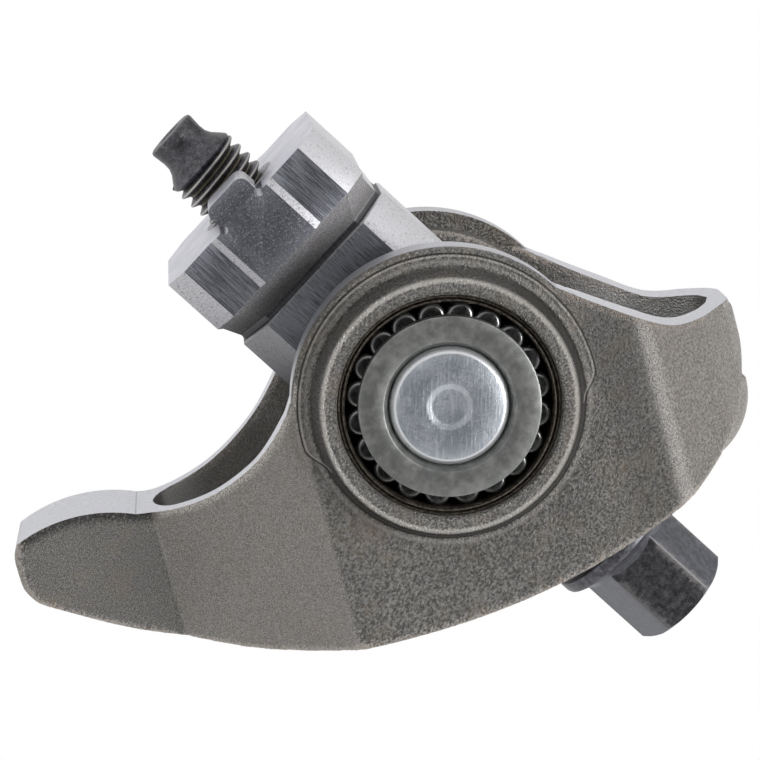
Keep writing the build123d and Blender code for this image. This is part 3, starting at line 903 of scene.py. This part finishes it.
def body_places(items, key):
    """(u, v) in millimetres of a mesh's points or faces."""
    at = read(items, key) / MM
    rise = at[:, 2] - TRUNNION_Z
    u = at[:, 0] * cos(LEAN) - rise * sin(LEAN)
    v = at[:, 0] * sin(LEAN) + rise * cos(LEAN)
    return np.stack((u, v), 1)


def mark_ground(obj):
    """Stores 1 on the faces of the rims and the pad, and each point's distance from those."""
    close, tip_close, part_ground = 0.06, 0.3, 0.8
    mesh = obj.data
    runs = (pad_run(), arm_run(), cup_run())
    at = body_places(mesh.polygons, "center")
    level = np.abs(read(mesh.polygons, "normal")[:, 1]) < 0.2
    value = np.zeros(len(at), np.float32)
    for run in runs:
        value[level & (from_run(at, run) < close)] = 1
    value[level & (from_run(at, TIP[:3]) < tip_close)] = part_ground
    on_boss = np.abs(np.linalg.norm(at, axis=1) - BOSS_PAD_RADIUS) < close
    value[level & on_boss & (at[:, 1] < 2.0)] = part_ground
    store(mesh, "ground", "FACE", value)
    at = body_places(mesh.vertices, "co")
    near = np.minimum.reduce([from_run(at, run) for run in runs])
    store(mesh, "rim", "POINT", near)


body = cast_body()
scaled(body)
smooth(body, 40)
mark_wear(body)
mark_ground(body)
finish_piece(body, "rocker", "cast_steel", "rocker_body")


# The turned pieces, as (radius, station along the trunnion from its middle)
PIN_END = [
    (0, 16.72), (1.65, 16.72), (1.82, 16.75), (2.2, 16.87), (2.38, 16.9), (5.25, 16.9), (5.42, 16.82),
    (5.8, 16.35), (5.9, 16.1),
]
INNER_RACE = [
    (5.91, 8.6), (7.46, 8.6), (7.46, 15.85), (8.85, 15.85), (8.98, 15.95), (9.0, 16.1), (9.0, 16.75),
    (8.94, 16.92), (8.76, 17.0), (6.62, 17.0), (6.45, 16.93), (6.2, 16.5), (5.96, 16.1), (5.91, 15.9),
]
CUP_LIP = [
    (11.0, 16.0), (10.97, 16.22), (10.88, 16.36), (10.76, 16.38), (10.7, 16.28), (10.66, 16.0),
    (10.62, 15.96), (10.57, 16.02), (10.55, 16.2), (10.5, 16.32), (10.38, 16.34), (10.26, 16.2),
    (10.2, 15.9),
]
BEARING_CUP = (
    [(7.96, 8.5), (10.65, 8.5), (10.9, 8.6), (11.0, 8.85)] + CUP_LIP + [(10.2, 9.2), (7.96, 9.2)])
# A needle, about its own middle
NEEDLE = [
    (0, -3.15), (1.1, -3.15), (1.3, -3.05), (1.35, -2.85), (1.35, 2.62), (1.29, 2.84), (1.15, 3.02),
    (1.0, 3.09), (0.75, 3.12), (0, 3.15),
]


# the trunnion and its bearings
def trunnion_pin():
    """The pin with dimpled ends, its hole for the bolt and the flat that the bolt seats on."""
    profile = PIN_END + [(r, -z) for r, z in reversed(PIN_END)]
    pin = lathe("pin", profile, 144)
    along_trunnion(pin)
    bore = [(0, 0), (PIN_HOLE_RADIUS, 0), (PIN_HOLE_RADIUS, 60), (0, 60)]
    combine(pin, lathe("hole", bore, 64), "DIFFERENCE")
    depth = 8
    deselect()
    bpy.ops.mesh.primitive_cube_add(
        size=1, location=(0, 0, PIN_FLAT_Z + depth / 2), scale=(20, PIN_FLAT_LENGTH, depth))
    flat = bpy.context.object
    bake_place(flat)
    combine(pin, flat, "DIFFERENCE")
    return pin


def needle():
    """One needle standing at the top of the ring on the near side."""
    piece = lathe("needle", NEEDLE, 28)
    piece.location = (0, PITCH_RADIUS, NEEDLE_Y)
    bake_place(piece)
    return along_trunnion(piece)


def both_sides(profile, steps, node, holder, slot_name):
    """A turned piece of the near bearing and its twin on the far side."""
    near = along_trunnion(lathe(node, profile, steps))
    far = mirrored(near, node + "_far")
    for piece, side in ((near, "near"), (far, "far")):
        scaled(piece)
        smooth(piece, 32)
        piece.name = f"{node}_{side}"
        finish_piece(piece, holder, slot_name, f"{node}_{side}")


pin = trunnion_pin()
scaled(pin)
smooth(pin, 30)
finish_piece(pin, "stand", "bright_ground_steel", "trunnion_pin")
both_sides(INNER_RACE, 144, "inner_race", "stand", "satin_hardened_steel")
both_sides(BEARING_CUP, 160, "bearing_cup", "rocker", "drawn_cup_steel")


def needles():
    """Both rings of needles, copied from one."""
    first = needle()
    for index in range(NEEDLES):
        one = copy_of(first, "needle")
        turn = Matrix.Rotation(radians(360 / NEEDLES * index), 4, "Y")
        centre = Matrix.Translation((0, 0, TRUNNION_Z))
        moved(one, centre @ turn @ centre.inverted())
        other = mirrored(one, "needle")
        for piece, side in ((one, "near"), (other, "far")):
            scaled(piece)
            smooth(piece, 40)
            piece.name = f"needle_{side}_{index + 1:02d}_look"
            finish_piece(piece, "needles_" + side, "needle_steel", f"needle_{side}_{index + 1:02d}")
    bpy.data.objects.remove(first)


needles()


# the bolt
def thread():
    """The helical flank from just below the seat to inside the pedestal, closed at both ends."""
    tooth = [
        (3.24, 0), (3.30, 0.14), (3.93, 0.50), (3.99, 0.58), (3.99, 0.68), (3.93, 0.76), (3.30, 1.12),
        (3.24, THREAD_PITCH),
    ]
    obj = chain("thread", [(r, 0, THREAD_START_Z + z) for r, z in tooth])
    leave_edit()
    apply_modifier(
        obj, "SCREW", axis="Z", angle=2 * pi, screw_offset=THREAD_PITCH, iterations=THREAD_TURNS,
        steps=48, render_steps=48, use_merge_vertices=True, merge_threshold=0.002)
    edit(obj)
    bpy.ops.mesh.remove_doubles(threshold=0.002)
    bpy.ops.mesh.select_all(action="SELECT")
    bpy.ops.mesh.fill_holes(sides=0)
    bpy.ops.mesh.select_all(action="SELECT")
    bpy.ops.mesh.normals_make_consistent(inside=False)
    leave_edit()
    return obj


def bolt_blank():
    """The bolt without its thread: pilot, shank, flange and hexagon."""
    tip, seat, top = BOLT_TIP_Z, BOLT_SEAT_Z, BOLT_SEAT_Z + HEAD_HEIGHT
    pilot = [
        (0, 0.12), (1.3, 0.12), (1.5, 0), (2.45, 0), (2.68, 0.12), (2.75, 0.35), (2.70, 0.9),
        (2.63, 1.7), (2.68, 2.4), (2.95, 3.0), (3.45, 3.6), (3.80, 4.05), (3.90, 4.3), (3.75, 4.55),
        (3.30, 4.85), (3.24, 5.1), (3.24, 8),
    ]
    shank = [(3.2, 12.6), (3.9, 13.4), (3.95, 14), (3.95, seat - 0.5)]
    flange = [
        (4.15, 0), (7.05, 0), (7.28, 0.12), (7.35, 0.4), (7.35, 1.1), (7.25, 1.4), (7.0, 1.55),
        (6.4, 1.9), (5.8, 2.3), (5.4, 2.8), (4.6, 3.4), (0, 3.4),
    ]
    profile = [(r, tip + z) for r, z in pilot] + shank + [(r, seat + z) for r, z in flange]
    blank = lathe("bolt_shank", profile, 96)
    deselect()
    bpy.ops.mesh.primitive_cylinder_add(
        vertices=6, radius=HEX_FLATS / sqrt(3), depth=9.8, location=(0, 0, seat + 6.8),
        rotation=(0, 0, radians(30)))
    head = bpy.context.object
    bake_place(head)
    bevel(head, 0.18, 3, 30)
    crown = [(6.5, 1.4), (5.75, 0.95), (5.2, 0.62), (4.6, 0.4), (3.4, 0.18), (1.8, 0.04), (0, 0)]
    cap = [(0, seat + 1), (6.5, seat + 1)] + [(r, top - drop) for r, drop in crown]
    combine(head, lathe("cap", cap, 96), "INTERSECT")
    combine(blank, head, "UNION")
    return blank


bolt = bolt_blank()
screw = thread()
for piece in (bolt, screw):
    scaled(piece)
    smooth(piece, 34)
bolt.name, screw.name = "bolt_look", "bolt_thread"
finish_piece(bolt, "bolt", "dark_fastener_steel", "bolt")
finish_piece(screw, "bolt", "dark_fastener_steel")


# the pedestal
def pedestal_look():
    """The CAD block with every edge softly broken."""
    obj = copy_of(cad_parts["pedestal"], "pedestal_look")
    obj.parent = None
    obj.hide_render = False
    edit(obj)
    bpy.ops.mesh.remove_doubles(threshold=0.000002)
    bpy.ops.mesh.select_all(action="SELECT")
    bpy.ops.mesh.dissolve_limited(angle_limit=radians(1.0))
    leave_edit()
    bevel(obj, 0.00016, 2, 25)
    smooth(obj, 30)
    return obj


pedestal = pedestal_look()
finish_piece(pedestal, "stand", "machined_steel", "pedestal")


# The camera, fitted to the photo: where it stands, its axes and its focal length in pixels
EYE = Vector((-25.2, -311.1, -32.8)) * MM
RIGHT = Vector((-0.6789, -0.0680, 0.7310))
DOWN = Vector((0.7283, -0.1881, 0.6589))
AHEAD = Vector((0.0927, 0.9798, 0.1772))
FOCAL_PIXELS = 3100
PHOTO_PIXELS = 760
SENSOR = 36.0

bpy.ops.object.camera_add()
camera = bpy.context.object
camera.data.sensor_width = SENSOR
camera.data.lens = FOCAL_PIXELS / PHOTO_PIXELS * SENSOR
camera.data.clip_start = 0.01
camera.data.clip_end = 10
turn = Matrix((RIGHT, -DOWN, -AHEAD)).transposed()
camera.matrix_world = Matrix.Translation(EYE) @ turn.to_4x4()
bpy.context.scene.camera = camera

# World, cards and lamps, about the object's middle. The world's level lights the object.
scene = bpy.context.scene
scene.view_settings.view_transform = "Standard"
MIDDLE = Vector((6, 0, 26))
WORLD_LEVEL = 0.55
FLOOR_Z = -150


def mirror_rays(tree, *kinds):
    """1 where a ray is of a kind named, or 0."""
    path = tree.nodes.new("ShaderNodeLightPath")
    looks = Val(tree, path.outputs[kinds[0]])
    for kind in kinds[1:]:
        looks = looks.sum("MAXIMUM", looks, Val(tree, path.outputs[kind]))
    return looks


world = bpy.data.worlds.new("studio")
scene.world = world
world.use_nodes = True
backdrop = world.node_tree.nodes["Background"]
backdrop.inputs["Color"].default_value = (1, 1, 1, 1)
looks = mirror_rays(world.node_tree, "Is Camera Ray", "Is Glossy Ray", "Is Transmission Ray")
level = looks * (1.0 - WORLD_LEVEL) + WORLD_LEVEL
world.node_tree.links.new(level.socket, backdrop.inputs["Strength"])


def emission(tree, tone):
    """A plain grey glow."""
    glow = tree.nodes.new("ShaderNodeEmission")
    glow.inputs["Color"].default_value = (tone, tone, tone, 1)
    return glow


def mixed(tree, factor, first, second):
    """The first shader at factor 0 and the second at 1, on the material's output."""
    pick = tree.nodes.new("ShaderNodeMixShader")
    tree.links.new(factor.socket, pick.inputs[0])
    tree.links.new(first.outputs[0], pick.inputs[1])
    tree.links.new(second.outputs[0], pick.inputs[2])
    tree.links.new(pick.outputs[0], tree.nodes["Material Output"].inputs[0])


def from_camera(offset):
    """A place given as (right, up, towards camera) from the object's middle."""
    return MIDDLE + RIGHT * offset[0] - DOWN * offset[1] - AHEAD * offset[2]


def card(name, offset, size, tone):
    """A plain card that metal reflects, white to the camera."""
    pos = from_camera(offset)
    bpy.ops.mesh.primitive_plane_add(size=size * MM, location=pos * MM)
    obj = bpy.context.object
    obj.name = name
    obj.rotation_euler = (MIDDLE - pos).to_track_quat("Z", "Y").to_euler()
    bake_place(obj)
    mat = bpy.data.materials.new(name)
    mat.use_nodes = True
    tree = mat.node_tree
    tree.nodes.remove(tree.nodes["Principled BSDF"])
    mixed(tree, mirror_rays(tree, "Is Camera Ray"), emission(tree, tone), emission(tree, 1.0))
    obj.data.materials.append(mat)


def lamp(name, offset, size, power):
    """A square softbox turned to the object."""
    pos = from_camera(offset)
    bpy.ops.object.light_add(type="AREA", location=pos * MM)
    light = bpy.context.object
    light.name = name
    light.data.size = size * MM
    light.data.energy = power
    light.rotation_euler = (MIDDLE - pos).to_track_quat("-Z", "Y").to_euler()


def floor():
    """A pale floor, white in the metal's reflections."""
    bpy.ops.mesh.primitive_plane_add(size=6, location=(0, 0, FLOOR_Z * MM))
    obj = bpy.context.object
    obj.name = "floor"
    bake_place(obj)
    mat = bpy.data.materials.new("floor")
    mat.use_nodes = True
    shader = mat.node_tree.nodes["Principled BSDF"]
    shader.inputs["Base Color"].default_value = (0.95, 0.95, 0.95, 1)
    shader.inputs["Roughness"].default_value = 0.9
    tree = mat.node_tree
    mixed(tree, mirror_rays(tree, "Is Glossy Ray", "Is Transmission Ray"), shader, emission(tree, 1.0))
    obj.data.materials.append(mat)


floor()
card("dark_card_camera", (0, 0, 800), 1300, 0.04)
card("grey_card_high_right", (560, 470, -260), 1000, 0.50)
lamp("key", (-280, 400, 180), 280, 3.4)
lamp("fill", (440, -20, 240), 240, 2.5)
lamp("low", (-420, -120, 220), 220, 1.5)
